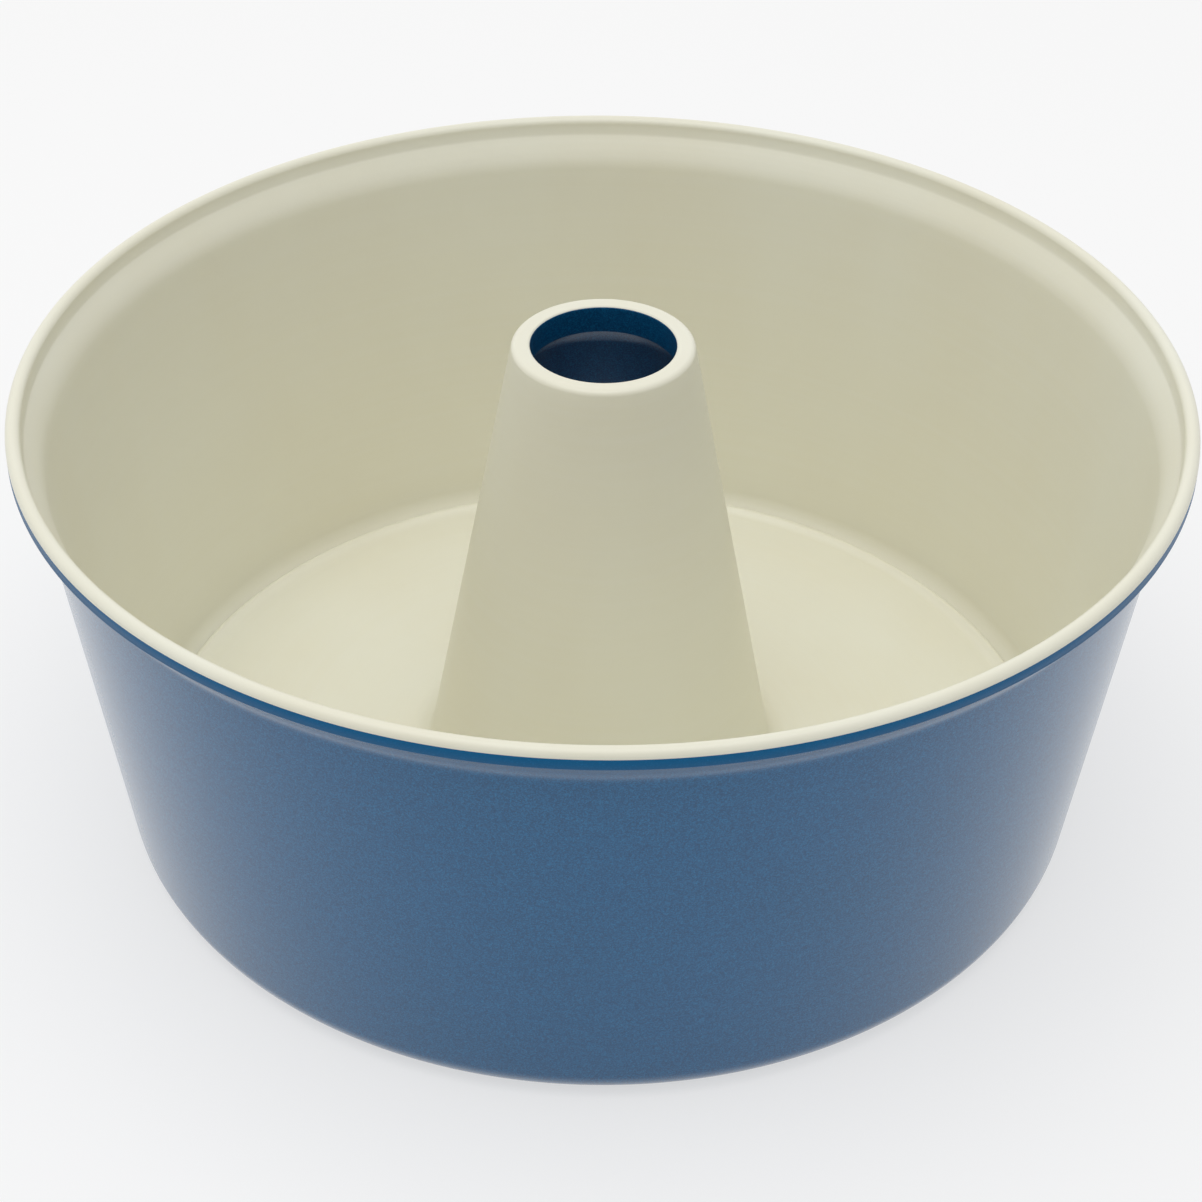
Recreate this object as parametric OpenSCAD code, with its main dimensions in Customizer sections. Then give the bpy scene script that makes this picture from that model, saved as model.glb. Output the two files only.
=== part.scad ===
// Angel food cake pan in two pieces, in millimetres.
// A deep round wall with an open bottom carries a loose base plate, which is
// drawn in one piece with the tapered centre tube and lifts straight out.
// Origin: centre of the foot on the pan's axis. +Z is up.

/* [Pan wall] */
// Radius of the wall's outside, carried down its slope to the foot
foot_r = 114.3; // [106:0.1:116]
// Slope of the wall, in degrees from upright
wall_draft = 7.0; // [4:0.1:8]
// Height of the lip's top above the foot
pan_h = 111.5; // [90:0.5:121]
// Thickness of the wall's sheet metal
wall_t = 2.0; // [1.2:0.1:2.6]
// Outside radius of the corner between the wall and the foot
corner_r = 9.0; // [7:0.1:12]

/* [Lip] */
// Radius of the lip's outermost edge
rim_r = 132.0; // [129:0.1:134]
// Thickness of the lip across its rounded top
lip_t = 3.4; // [2.8:0.1:4]
// Height of the lip's upright outer band below its rounding
lip_band = 2.4; // [1:0.1:4]
// Height over which the wall sweeps out to the lip
flare_h = 8.4; // [5:0.1:11]

/* [Ledge] */
// Width of the flat ledge, from the corner to the opening in the foot
ledge_w = 8.4; // [4:0.2:20]

/* [Base plate] */
// Thickness of the base plate and tube
insert_t = 2.0; // [1.2:0.1:2.6]
// How far the turned-up edge stands in from the pan's corner
edge_gap = 0.5; // [0.4:0.1:1.5]
// Angle through which the plate's edge turns up
edge_turn = 42; // [20:1:60]
// Radius of the sweep between the plate and the tube
tube_foot_r = 7.0; // [4:0.5:12]

/* [Centre tube] */
// Height of the tube's top above the foot
tube_h = 119.5; // [90:0.5:140]
// Slope of the tube, in degrees from upright
tube_draft = 10.8; // [5:0.1:14]
// Radius of the tube's outside at its top, before the edge is rounded
tube_top_r = 20.5; // [19:0.1:26]
// Radius of the round hole in the tube's top
hole_r = 16.35; // [12:0.05:17]
// Height of the hem, where the sheet is folded down inside the tube's top
hem_h = 7.0; // [4:0.5:15]
// Radius of the rounded outer edge of the tube's top
top_edge_r = 1.4; // [0.6:0.1:2]
// Radius of the rounded edges of the hole
hole_edge_r = 0.6; // [0.3:0.1:0.9]

/* [Hidden] */
$fn = 120;

// Most degrees between two points on an arc
arc_step = 7.5;

paint_blue = [0.22, 0.40, 0.55];
coating_cream = [0.83, 0.82, 0.74];

// Points on an arc about [r, z] from angle a to angle b, both included
function arc(r, z, radius, a, b) =
    let (n = max(2, ceil(abs(b - a) / arc_step)))
    [for (i = [0:n]) let (t = a + (b - a) * i / n)
        [r + radius * cos(t), z + radius * sin(t)]];

// Radius of a sloping face at height z, from its radius at the foot
function slope_r(foot, draft, z) = foot + z * tan(draft);

// Centre of the corner: it touches the foot plane and the sloping wall
corner_z = corner_r;
corner_c = foot_r - corner_r / cos(wall_draft) + corner_z * tan(wall_draft);

// Centre of the lip's rounding
lip_round = lip_t / 2;
lip_c = rim_r - lip_round;
lip_z = pan_h - lip_round;

// The wall sweeps out between these two heights
flare_top = lip_z - lip_band;
flare_low = flare_top - flare_h;

// Point on a sweep of a quarter of a cosine wave, which leaves the sloping wall at s = 0
// along its slope and turns out to the lip at s = 1
function sweep_pt(low_r, top_r, s) =
    let (z = flare_low + flare_h * s,
         straight = low_r + flare_h * s * tan(wall_draft),
         rise = top_r - low_r - flare_h * tan(wall_draft))
    [straight + rise * (1 - cos(90 * s)), z];

// Points of a whole sweep from the wall up to the lip
sweep_n = 8;
function sweep(low_r, top_r) = [for (i = [0:sweep_n]) sweep_pt(low_r, top_r, i / sweep_n)];

// Points in the opposite order
function reversed(pts) = [for (i = [len(pts) - 1:-1:0]) pts[i]];

// Opening in the foot, inside the ledge
ledge_r = corner_c - ledge_w;

// Wall radii at the start of the sweep, outside and inside
wall_across = wall_t / cos(wall_draft);
outer_low = slope_r(foot_r, wall_draft, flare_low);
inner_low = outer_low - wall_across;

// Pan wall: foot ledge, corner, sloping wall, swept lip
module pan_body() {
    color(paint_blue)
    rotate_extrude()
    polygon(concat(
        [[ledge_r, 0]],
        arc(corner_c, corner_z, corner_r, -90, -wall_draft),
        sweep(outer_low, rim_r),
        arc(lip_c, lip_z, lip_round, 0, 180),
        reversed(sweep(inner_low, rim_r - lip_t)),
        arc(corner_c, corner_z, corner_r - wall_t, -wall_draft, -90),
        [[ledge_r, wall_t]]
    ));
}

// The base plate lies on the ledge
plate_z = wall_t;
floor_z = plate_z + insert_t;

// Centre of the plate's turned-up edge, and its outer and inner radii
edge_out = corner_r - wall_t - edge_gap / 2;
edge_in = edge_out - insert_t;
edge_c = corner_c - edge_gap;
edge_z = plate_z + edge_out;
edge_end = -90 + edge_turn;

// Radius of the tube's outside, carried down its slope to the foot
tube_foot = slope_r(tube_top_r, tube_draft, tube_h);

// Centre of the tube top's rounded edge: it touches the top and the sloping face
top_edge_z = tube_h - top_edge_r;
top_edge_c = slope_r(tube_foot, -tube_draft, top_edge_z) - top_edge_r / cos(tube_draft);

// The hem ends here, and the bare inside of the sloping tube begins
hem_z = tube_h - hem_h;
hem_out = slope_r(tube_foot, -tube_draft, hem_z) - insert_t / cos(tube_draft);
hole_edge_c = hole_r + hole_edge_r;

// Centre of the sweep between the plate's top and the tube
sweep_z = floor_z + tube_foot_r;
sweep_c = slope_r(tube_foot, -tube_draft, sweep_z) + tube_foot_r / cos(tube_draft);
sweep_end = 180 + tube_draft;

// Base plate and centre tube, drawn in one piece from one sheet
module tube_insert() {
    color(coating_cream)
    rotate_extrude()
    polygon(concat(
        // Underside: plate, sweep and tube up to the hole
        arc(sweep_c, sweep_z, tube_foot_r + insert_t, sweep_end, 270),
        arc(edge_c, edge_z, edge_out, -90, edge_end),
        // Top side: edge, floor, sweep and tube
        arc(edge_c, edge_z, edge_in, edge_end, -90),
        arc(sweep_c, sweep_z, tube_foot_r, 270, sweep_end),
        arc(top_edge_c, top_edge_z, top_edge_r, tube_draft, 90),
        // The hole's rounded edges and the hem between them
        arc(hole_edge_c, tube_h - hole_edge_r, hole_edge_r, 90, 180),
        arc(hole_edge_c, hem_z + hole_edge_r, hole_edge_r, 180, 270),
        [[hem_out, hem_z]]
    ));
}

pan_body();
tube_insert();
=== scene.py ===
"""Looks of the angel food cake pan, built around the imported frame.

The pan is two pieces of drawn aluminium sheet: the wall and the lift-out base with its tube.
Each is a closed profile turned about the pan's axis. Lengths are in metres, +Z is up.
"""
import math

import bpy
import numpy as np
from mathutils import Matrix, Vector


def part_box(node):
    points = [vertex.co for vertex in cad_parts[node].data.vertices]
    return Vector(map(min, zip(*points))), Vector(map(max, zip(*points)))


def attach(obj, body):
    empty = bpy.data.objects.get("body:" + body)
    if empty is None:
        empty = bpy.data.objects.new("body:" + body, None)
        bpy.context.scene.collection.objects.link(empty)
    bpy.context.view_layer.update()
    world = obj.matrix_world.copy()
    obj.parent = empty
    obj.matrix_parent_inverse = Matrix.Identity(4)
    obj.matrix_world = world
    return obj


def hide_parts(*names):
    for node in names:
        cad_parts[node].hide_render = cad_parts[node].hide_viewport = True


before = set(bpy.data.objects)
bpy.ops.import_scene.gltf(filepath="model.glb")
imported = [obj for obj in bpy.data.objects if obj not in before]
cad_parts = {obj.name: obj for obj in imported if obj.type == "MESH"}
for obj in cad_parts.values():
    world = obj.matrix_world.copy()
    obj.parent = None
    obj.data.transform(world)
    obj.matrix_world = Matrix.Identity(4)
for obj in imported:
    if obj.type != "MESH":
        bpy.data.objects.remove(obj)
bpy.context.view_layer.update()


# Pan wall
# A deep cup drawn from aluminium sheet: ledge, rounded corner, sloping wall, flare and thick lip.
# Metallic blue enamel outside and cream non-stick coat inside meet on the lip's outermost line.

wall_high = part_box("pan_body")[1]
rim_r = wall_high.x
pan_h = wall_high.z
foot_r = 0.1143
wall_slope = math.radians(7.0)
sheet = 0.002
corner_r = 0.009
ledge_w = 0.0084
lip_t = 0.0034
lip_band = 0.0024
flare_h = 0.0084

# A fine line is left where the flare leaves the wall
crease_h = 0.00012
crease_w = 0.0011

# Points round the axis
around = 480

# Coats, in the order of each piece's material slots
BLUE, CREAM, BAND = 0, 1, 2


def arc(centre, radius, start, end, steps):
    """Points at radius from centre [r, z], evenly spaced from angle start to end in degrees."""
    t = np.radians(np.linspace(start, end, steps + 1))
    return np.column_stack([centre[0] + radius * np.cos(t), centre[1] + radius * np.sin(t)])


def flare(low_r, low_z, top_r, height, slope, steps):
    """Points of the swept flare, with s from 0 to 1. Height is low_z + s height. Radius is
    low_r + s height tan(slope), and what is left to top_r times 1 - cos(90 s)."""
    s = np.linspace(0, 1, steps + 1)
    lean = height * math.tan(slope)
    rise = top_r - low_r - lean
    r = low_r + s * lean + rise * (1 - np.cos(s * math.pi / 2))
    return np.column_stack([r, low_z + s * height])


def straight(start, end, steps):
    """Points evenly spaced on the line between two points, both ends left out."""
    s = np.linspace(0, 1, steps + 2)[1:-1, None]
    return np.asarray(start) * (1 - s) + np.asarray(end) * s


def turned(name, stretches):
    """A closed profile turned about +Z. stretches is a list of (points [r, z], coat), in order
    and counterclockwise, so that faces point out of the metal. Vertex (i, j) is
    (r_i cos a_j, r_i sin a_j, z_i), where a_j is 2 pi j / around. The attribute turning holds
    (cos a, sin a, length along the profile), which the coats' spun lines follow."""
    profile = np.vstack([points for points, coat in stretches])
    coats = np.concatenate([np.full(len(points), coat) for points, coat in stretches])
    rows = len(profile)
    a = 2 * math.pi * np.arange(around) / around
    r, z = profile[:, 0, None], profile[:, 1, None]
    co = np.stack([r * np.cos(a), r * np.sin(a), np.broadcast_to(z, (rows, around))], -1)
    steps = np.linalg.norm(np.roll(profile, -1, 0) - profile, axis=1)
    along = np.concatenate([[0], np.cumsum(steps)[:-1]])[:, None]
    turning = np.stack([np.broadcast_to(np.cos(a), (rows, around)),
                        np.broadcast_to(np.sin(a), (rows, around)),
                        np.broadcast_to(along, (rows, around))], -1)
    i, j = np.meshgrid(np.arange(rows), np.arange(around), indexing="ij")
    i_next, j_next = (i + 1) % rows, (j + 1) % around
    quads = np.stack([i * around + j, i * around + j_next,
                      i_next * around + j_next, i_next * around + j], -1).reshape(-1, 4)
    mesh = bpy.data.meshes.new(name)
    mesh.vertices.add(rows * around)
    mesh.vertices.foreach_set("co", co.ravel())
    mesh.loops.add(quads.size)
    mesh.loops.foreach_set("vertex_index", quads.ravel())
    mesh.polygons.add(len(quads))
    mesh.polygons.foreach_set("loop_start", np.arange(len(quads)) * 4)
    mesh.polygons.foreach_set("loop_total", np.full(len(quads), 4))
    mesh.polygons.foreach_set("material_index", np.repeat(coats, around))
    mesh.polygons.foreach_set("use_smooth", np.ones(len(quads), bool))
    attribute = mesh.attributes.new("turning", "FLOAT_VECTOR", "POINT")
    attribute.data.foreach_set("vector", turning.ravel())
    mesh.update(calc_edges=True)
    piece = bpy.data.objects.new(name, mesh)
    bpy.context.scene.collection.objects.link(piece)
    return piece


def new_material(name):
    """A material with its Principled shader: (material, node maker, linker, shader)."""
    material = bpy.data.materials.new(name)
    material.use_nodes = True
    tree = material.node_tree
    shader = tree.nodes["Principled BSDF"]
    return material, tree.nodes.new, tree.links.new, shader


def mapped(make, link, source, scale):
    """A coordinate output stretched by scale on each axis."""
    mapping = make("ShaderNodeMapping")
    mapping.inputs["Scale"].default_value = scale
    link(source, mapping.inputs["Vector"])
    return mapping.outputs["Vector"]


def noise(make, link, vector, scale, detail):
    """Noise from 0 to 1 over a coordinate."""
    texture = make("ShaderNodeTexNoise")
    texture.inputs["Scale"].default_value = scale
    texture.inputs["Detail"].default_value = detail
    link(vector, texture.inputs["Vector"])
    return texture.outputs["Fac"]


def ranged(make, link, value, low, high, from_low=0.0, from_high=1.0):
    """A value moved from one range to another, and held within it."""
    node = make("ShaderNodeMapRange")
    node.inputs["From Min"].default_value = from_low
    node.inputs["From Max"].default_value = from_high
    node.inputs["To Min"].default_value = low
    node.inputs["To Max"].default_value = high
    link(value, node.inputs["Value"])
    return node.outputs["Result"]


def blended(make, link, factor, dark, light):
    """A colour between dark and light; each is a colour or another node's output."""
    node = make("ShaderNodeMix")
    node.data_type = "RGBA"
    link(factor, node.inputs["Factor"])
    for socket, colour in (("A", dark), ("B", light)):
        socket = next(s for s in node.inputs if s.name == socket and s.type == "RGBA")
        if isinstance(colour, tuple):
            socket.default_value = (*colour, 1)
        else:
            link(colour, socket)
    return next(s for s in node.outputs if s.type == "RGBA")


def bumped(make, link, height, depth, normal=None):
    """A bump whose heights are depth metres at most."""
    node = make("ShaderNodeBump")
    node.inputs["Distance"].default_value = depth
    link(height, node.inputs["Height"])
    if normal is not None:
        link(normal, node.inputs["Normal"])
    return node.outputs["Normal"]


def spun_lines(make, link, scale, detail):
    """Noise drawn out round the axis, as the lines that spinning leaves on the sheet."""
    turning = make("ShaderNodeAttribute")
    turning.attribute_name = "turning"
    return noise(make, link, mapped(make, link, turning.outputs["Vector"], scale), 1.0, detail)


def make_blue_coat(name, haze):
    """Metallic blue enamel: a deep blue ground with fine flakes under a clear gloss, over spun
    lines that still show faintly. haze is 1 with all the flakes' bloom and 0 with the least; a
    lower haze paints the coat darker and duller, as painted shade."""
    material, make, link, shader = new_material(name)
    place = make("ShaderNodeTexCoord").outputs["Object"]
    spun = spun_lines(make, link, (0.5, 0.5, 900), 3.0)
    cloud = noise(make, link, place, 22.0, 2.0)
    grain = noise(make, link, place, 2600.0, 1.0)
    flake = make("ShaderNodeTexVoronoi")
    flake.inputs["Scale"].default_value = 4200.0
    link(place, flake.inputs["Vector"])

    # Deep and lighter blue by grain, then a cloud, the spun lines and the flakes over it
    by_grain = ranged(make, link, grain, 0.0, 1.0, 0.30, 0.70)
    by_cloud = ranged(make, link, cloud, 0.0, 0.25, 0.35, 0.65)
    by_spun = ranged(make, link, spun, 0.0, 0.12, 0.45, 0.75)
    by_flake = ranged(make, link, flake.outputs["Color"], 0.0, 0.55, 0.40, 1.0)
    ground = blended(make, link, by_grain, (0.001, 0.058, 0.155), (0.002, 0.086, 0.215))
    ground = blended(make, link, by_cloud, ground, (0.002, 0.082, 0.225))
    ground = blended(make, link, by_spun, ground, (0.005, 0.120, 0.280))
    flaked = blended(make, link, by_flake, ground, (0.010, 0.230, 0.490))
    # Low haze pulls the colour towards the deep blue: painted shade
    hazed = ranged(make, link, by_flake, haze, 1.0)
    link(blended(make, link, hazed, (0.001, 0.098, 0.240), flaked), shader.inputs["Base Color"])
    relief = bumped(make, link, spun, 0.00003, bumped(make, link, grain, 0.00002))
    link(relief, shader.inputs["Normal"])
    shader.inputs["Specular IOR Level"].default_value = 0.25 * haze
    shader.inputs["Coat Weight"].default_value = 0.3 + 0.7 * haze
    shader.inputs["Metallic"].default_value = 0.35
    shader.inputs["Roughness"].default_value = 0.40
    shader.inputs["Coat Roughness"].default_value = 0.18
    shader.inputs["Coat IOR"].default_value = 1.38
    return material


def make_cream_coat():
    """Satin cream non-stick coat: even and pale, with a faint cloudiness, a fine sprayed grain
    and the softened spun lines of the sheet below."""
    material, make, link, shader = new_material("cream_nonstick_coat")
    place = make("ShaderNodeTexCoord").outputs["Object"]
    spun = spun_lines(make, link, (0.7, 0.7, 700), 2.0)
    cloud = noise(make, link, mapped(make, link, place, (1, 1, 0.35)), 16.0, 3.0)
    grain = noise(make, link, place, 900.0, 2.0)
    by_cloud = ranged(make, link, cloud, 0.0, 1.0, 0.30, 0.70)
    by_spun = ranged(make, link, spun, 0.0, 0.10, 0.40, 0.70)
    tint = blended(make, link, by_cloud, (0.760, 0.735, 0.595), (0.780, 0.772, 0.655))
    link(blended(make, link, by_spun, tint, (0.80, 0.80, 0.73)), shader.inputs["Base Color"])
    relief = bumped(make, link, spun, 0.00002, bumped(make, link, grain, 0.00001))
    link(relief, shader.inputs["Normal"])
    link(ranged(make, link, cloud, 0.30, 0.38), shader.inputs["Roughness"])
    return material


blue_coat = make_blue_coat("blue_metallic_coat", 1.0)
cream_coat = make_cream_coat()

# The lip's upright band gets a darker, deeper copy of the blue coat, without flake bloom and with
# little gloss: painted shade, since the band mirrors only darkness
shaded_band_coat = make_blue_coat("blue_band_painted_shade", 0.0)


def finish_piece(piece, node, body):
    """Gives a piece its coats and sets it in place of its CAD node."""
    for coat in (blue_coat, cream_coat, shaded_band_coat):
        piece.data.materials.append(coat)
    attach(piece, body)
    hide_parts(node)


# Where the corner, the lip and the flare meet the wall's slope
corner_c = foot_r - corner_r / math.cos(wall_slope) + corner_r * math.tan(wall_slope)
corner = (corner_c, corner_r)
slope_deg = math.degrees(wall_slope)
ledge_r = corner_c - ledge_w
lip_round = lip_t / 2
lip = (rim_r - lip_round, pan_h - lip_round)
flare_z = lip[1] - lip_band - flare_h
outer_low = foot_r + flare_z * math.tan(wall_slope)
inner_low = outer_low - sheet / math.cos(wall_slope)

# The ledge's cut edge is broken by a small rounding
edge_round = 0.0005

outer_corner = arc(corner, corner_r, -90, -slope_deg, 20)
inner_corner = arc(corner, corner_r - sheet, -slope_deg, -90, 20)
outer_flare = flare(outer_low, flare_z, rim_r, flare_h, wall_slope, 14)
inner_flare = flare(inner_low, flare_z, rim_r - lip_t, flare_h, wall_slope, 14)[::-1]
outer_flare[:, 0] += crease_h * np.exp(-((outer_flare[:, 1] - flare_z) / crease_w) ** 2)
pan_wall = turned("pan_wall", [
    (arc((ledge_r + edge_round, edge_round), edge_round, 180, 270, 4), BLUE),
    (outer_corner, BLUE),
    (straight(outer_corner[-1], outer_flare[0], 24), BLUE),
    (outer_flare[:-1], BLUE),
    (outer_flare[-1:], BAND),
    (arc(lip, lip_round, 0, 180, 20)[:-1], CREAM),
    (inner_flare, CREAM),
    (straight(inner_flare[-1], inner_corner[0], 24), CREAM),
    (inner_corner, CREAM),
    (arc((ledge_r + edge_round, sheet - edge_round), edge_round, 90, 180, 4), CREAM),
])
finish_piece(pan_wall, "pan_body", "pan")


# Base plate and centre tube
# One piece drawn from the same sheet: a flat plate with a turned-up edge and a tall tapered tube,
# hemmed round the hole at its top. Cream coat above, blue enamel below. It lies on the ledge.

insert_low, insert_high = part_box("tube_insert")
plate_z = insert_low.z
tube_h = insert_high.z
tube_slope = math.radians(10.8)
tube_top_r = 0.0205
hole_r = 0.01635
hem_h = 0.007
top_edge_r = 0.0014
hole_edge_r = 0.0006
foot_sweep = 0.007
edge_gap = 0.0005
edge_turn = 42

tube_deg = math.degrees(tube_slope)
tube_foot = tube_top_r + tube_h * math.tan(tube_slope)
floor_z = plate_z + sheet
sweep_z = floor_z + foot_sweep
sweep_c = tube_foot - sweep_z * math.tan(tube_slope) + foot_sweep / math.cos(tube_slope)
sweep = (sweep_c, sweep_z)
edge_out = corner_r - sheet - edge_gap / 2
edge = (corner_c - edge_gap, plate_z + edge_out)
top_edge_z = tube_h - top_edge_r
top_edge_c = tube_foot - top_edge_z * math.tan(tube_slope) - top_edge_r / math.cos(tube_slope)
top_edge = (top_edge_c, top_edge_z)
hem_z = tube_h - hem_h
hem_out = tube_foot - hem_z * math.tan(tube_slope) - sheet / math.cos(tube_slope)
hole_edge = hole_r + hole_edge_r

# A half circle between the two faces rounds the plate's edge, and starts this much further back
round_deg = 5
edge_end = -90 + edge_turn - round_deg
rim_centre = arc(edge, edge_out - sheet / 2, edge_end, edge_end, 0)[0]

under_sweep = arc(sweep, foot_sweep + sheet, 180 + tube_deg, 270, 16)
over_sweep = arc(sweep, foot_sweep, 270, 180 + tube_deg, 16)
under_edge = arc(edge, edge_out, -90, edge_end, 12)
over_edge = arc(edge, edge_out - sheet, edge_end, -90, 12)
top_round = arc(top_edge, top_edge_r, tube_deg, 90, 10)
hole_top = arc((hole_edge, tube_h - hole_edge_r), hole_edge_r, 90, 180, 6)
hole_foot = arc((hole_edge, hem_z + hole_edge_r), hole_edge_r, 180, 270, 6)
tube_insert = turned("base_and_tube", [
    (under_sweep, BLUE),
    (straight(under_sweep[-1], under_edge[0], 8), BLUE),
    (under_edge, BLUE),
    (arc(rim_centre, sheet / 2, edge_end, edge_end + 180, 10)[1:-1], CREAM),
    (over_edge, CREAM),
    (straight(over_edge[-1], over_sweep[0], 16), CREAM),
    (over_sweep, CREAM),
    (straight(over_sweep[-1], top_round[0], 30), CREAM),
    (top_round, CREAM),
    (straight(top_round[-1], hole_top[0], 3), CREAM),
    (hole_top[:4], CREAM),
    (hole_top[4:], BLUE),
    (straight(hole_top[-1], hole_foot[0], 4), BLUE),
    (hole_foot, BLUE),
    (np.array([[hem_out, hem_z]]), BLUE),
    (straight((hem_out, hem_z), under_sweep[0], 20), BLUE),
])
finish_piece(tube_insert, "tube_insert", "insert")


# Floor
# A plain white studio floor. What the camera sees, straight or mirrored in the enamel, is partly
# its own light and partly the lit floor, so it stays white and keeps a soft shadow under the pan.

floor_half = 12.0
white_share = 0.6


def seen_ray(make, link):
    """1 for a ray from the camera, also one mirrored or let through, and 0 for one that lights."""
    rays = make("ShaderNodeLightPath")
    seen = rays.outputs["Is Camera Ray"]
    for kind in ("Is Glossy Ray", "Is Transmission Ray"):
        either = make("ShaderNodeMath")
        either.operation = "MAXIMUM"
        link(seen, either.inputs[0])
        link(rays.outputs[kind], either.inputs[1])
        seen = either.outputs[0]
    return seen


floor_mesh = bpy.data.meshes.new("studio_floor")
floor_corners = floor_half * np.array([(-1, -1, 0), (1, -1, 0), (1, 1, 0), (-1, 1, 0)])
floor_mesh.from_pydata(floor_corners.tolist(), [], [(0, 1, 2, 3)])
floor = bpy.data.objects.new("studio_floor", floor_mesh)
bpy.context.scene.collection.objects.link(floor)
floor_paint, make, link, shader = new_material("studio_floor")
shader.inputs["Base Color"].default_value = (0.86, 0.86, 0.86, 1)
shader.inputs["Roughness"].default_value = 0.9
shader.inputs["Specular IOR Level"].default_value = 0.0
white = make("ShaderNodeEmission")
white.inputs["Strength"].default_value = 1.0
mix = make("ShaderNodeMixShader")
link(ranged(make, link, seen_ray(make, link), 0.0, white_share), mix.inputs["Fac"])
link(shader.outputs["BSDF"], mix.inputs[1])
link(white.outputs["Emission"], mix.inputs[2])
link(mix.outputs["Shader"], floor_paint.node_tree.nodes["Material Output"].inputs["Surface"])
floor_mesh.materials.append(floor_paint)


# Light
# An even white studio: light from all round, dimmer towards the front and the right, with one
# large soft lamp overhead. Seen straight or mirrored, the studio is plain white.

world = bpy.data.worlds.new("studio")
bpy.context.scene.world = world
world.use_nodes = True
tree = world.node_tree
make, link = tree.nodes.new, tree.links.new
direction = make("ShaderNodeSeparateXYZ")
link(make("ShaderNodeTexCoord").outputs["Generated"], direction.inputs["Vector"])
towards_front = ranged(make, link, direction.outputs["Y"], 0.28, 0.84, -0.9, 0.1)
towards_right = ranged(make, link, direction.outputs["X"], 1.0, 0.50, -0.2, 0.9)
overhead = ranged(make, link, direction.outputs["Z"], 0.0, 0.84, 0.15, 0.75)
level = make("ShaderNodeMath")
level.operation = "MULTIPLY"
link(towards_front, level.inputs[0])
link(towards_right, level.inputs[1])
raised = make("ShaderNodeMath")
raised.operation = "MAXIMUM"
link(level.outputs[0], raised.inputs[0])
link(overhead, raised.inputs[1])
strength = make("ShaderNodeMix")
link(seen_ray(make, link), strength.inputs[0])
link(raised.outputs[0], strength.inputs[2])
strength.inputs[3].default_value = 1.0
sky = tree.nodes["Background"]
sky.inputs["Color"].default_value = (1, 1, 1, 1)
link(strength.outputs[0], sky.inputs["Strength"])


def soft_lamp(name, place, size, power):
    """A square area lamp that faces the pan's middle, size metres wide and power watts strong."""
    data = bpy.data.lights.new(name, "AREA")
    data.size = size
    data.energy = power
    lamp = bpy.data.objects.new(name, data)
    lamp.location = place
    towards_pan = Vector((0, 0, pan_h / 2)) - Vector(place)
    lamp.rotation_euler = towards_pan.to_track_quat("-Z", "Y").to_euler()
    bpy.context.scene.collection.objects.link(lamp)


soft_lamp("overhead", (-0.12, -0.25, 1.6), 1.3, 9.5)


# Camera
# The photograph's view, worked out from the outlines of the lip, the wall, the foot and the hole:
# distance and height of the point on the axis that it faces, angles in radians, focal length.

view_distance = 0.61154
view_elevation = 0.6387
view_centre_z = 0.04814
view_roll = 0.0095
focal_px = 2558.7
picture_px = 1202

camera_data = bpy.data.cameras.new("camera")
camera_data.sensor_width = 36.0
camera_data.lens = focal_px / picture_px * camera_data.sensor_width
camera = bpy.data.objects.new("camera", camera_data)
bpy.context.scene.collection.objects.link(camera)
bpy.context.scene.camera = camera
eye = Vector((0, -view_distance * math.cos(view_elevation),
              view_centre_z + view_distance * math.sin(view_elevation)))
forward = Vector((0, math.cos(view_elevation), -math.sin(view_elevation)))
right = Vector((1, 0, 0))
up = right.cross(forward)
across = math.cos(view_roll) * right + math.sin(view_roll) * up
upright = math.cos(view_roll) * up - math.sin(view_roll) * right
turn = Matrix((across, upright, -forward)).transposed()
camera.matrix_world = Matrix.Translation(eye) @ turn.to_4x4()

bpy.context.scene.view_settings.view_transform = "Standard"
